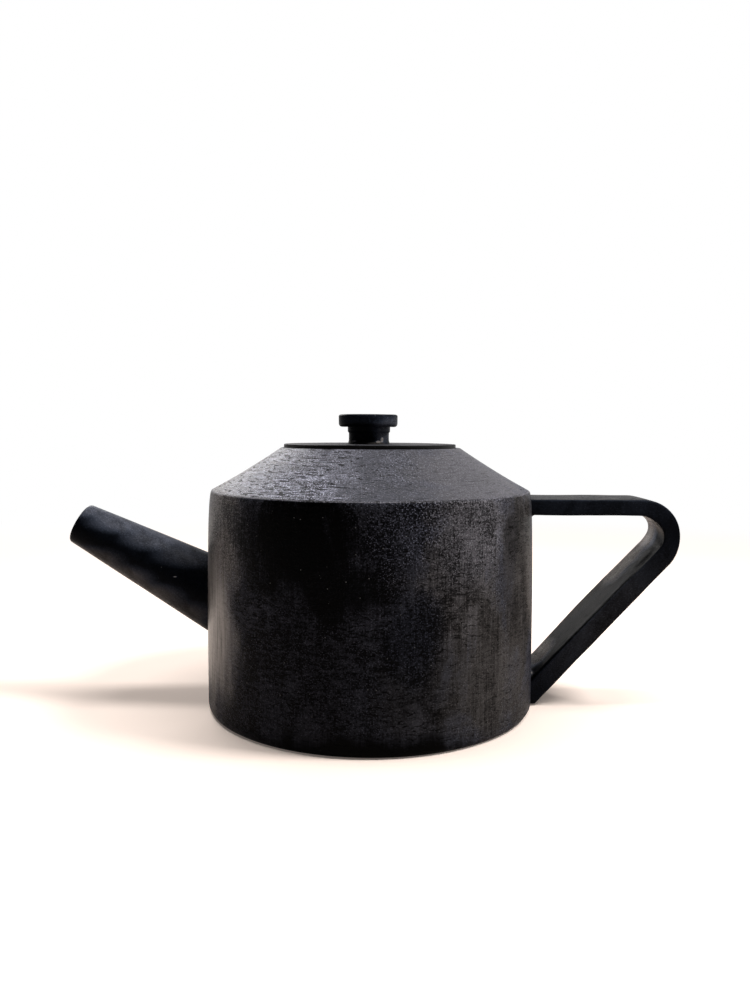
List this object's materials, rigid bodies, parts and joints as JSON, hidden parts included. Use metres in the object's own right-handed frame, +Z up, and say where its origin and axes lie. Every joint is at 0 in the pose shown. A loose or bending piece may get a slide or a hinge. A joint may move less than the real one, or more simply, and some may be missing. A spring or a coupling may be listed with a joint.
{
  "type": "teapot",
  "caption": "Black stoneware teapot with a straight wall, conical shoulder, straight spout, bent strap handle and a lift-off lid with a button knob.",
  "frame": {"origin": "on the pot's axis, in the plane that the flat foot rests on", "axes": "+Z up, +X towards the handle, -X towards the spout"},
  "size_m": [0.2687, 0.1446, 0.1278],
  "materials": {
    "trimmed_clay": "matte, unglazed, with fine turning scratches and pits",
    "shoulder_clay": "matte, unglazed, with a fine grain and a faint blue grey bloom",
    "lid_clay": "matte, unglazed, finely grained",
    "smoothed_clay": "unglazed, smoothed to a soft low sheen",
    "inside_clay": "matte, unglazed"
  },
  "bodies": {
    "pot": {"base_slab": "inside_clay", "body_wall": "trimmed_clay", "base_seam_coil": "inside_clay", "shoulder": "shoulder_clay", "shoulder_seam_coil": "inside_clay", "lid_seat": "inside_clay", "spout": "smoothed_clay", "handle_strap": "smoothed_clay", "handle_upper_luting": "smoothed_clay", "handle_lower_luting": "smoothed_clay"},
    "lid": {"lid_plate": "lid_clay", "lid_flange": "inside_clay", "knob_stem": "smoothed_clay", "knob_cap": "smoothed_clay"}
  },
  "joints": [
    {"name": "lid_lift", "type": "slide", "parent": "pot", "child": "lid", "axis": [0, 0, 1], "range_m": [0, 0.06]}
  ]
}
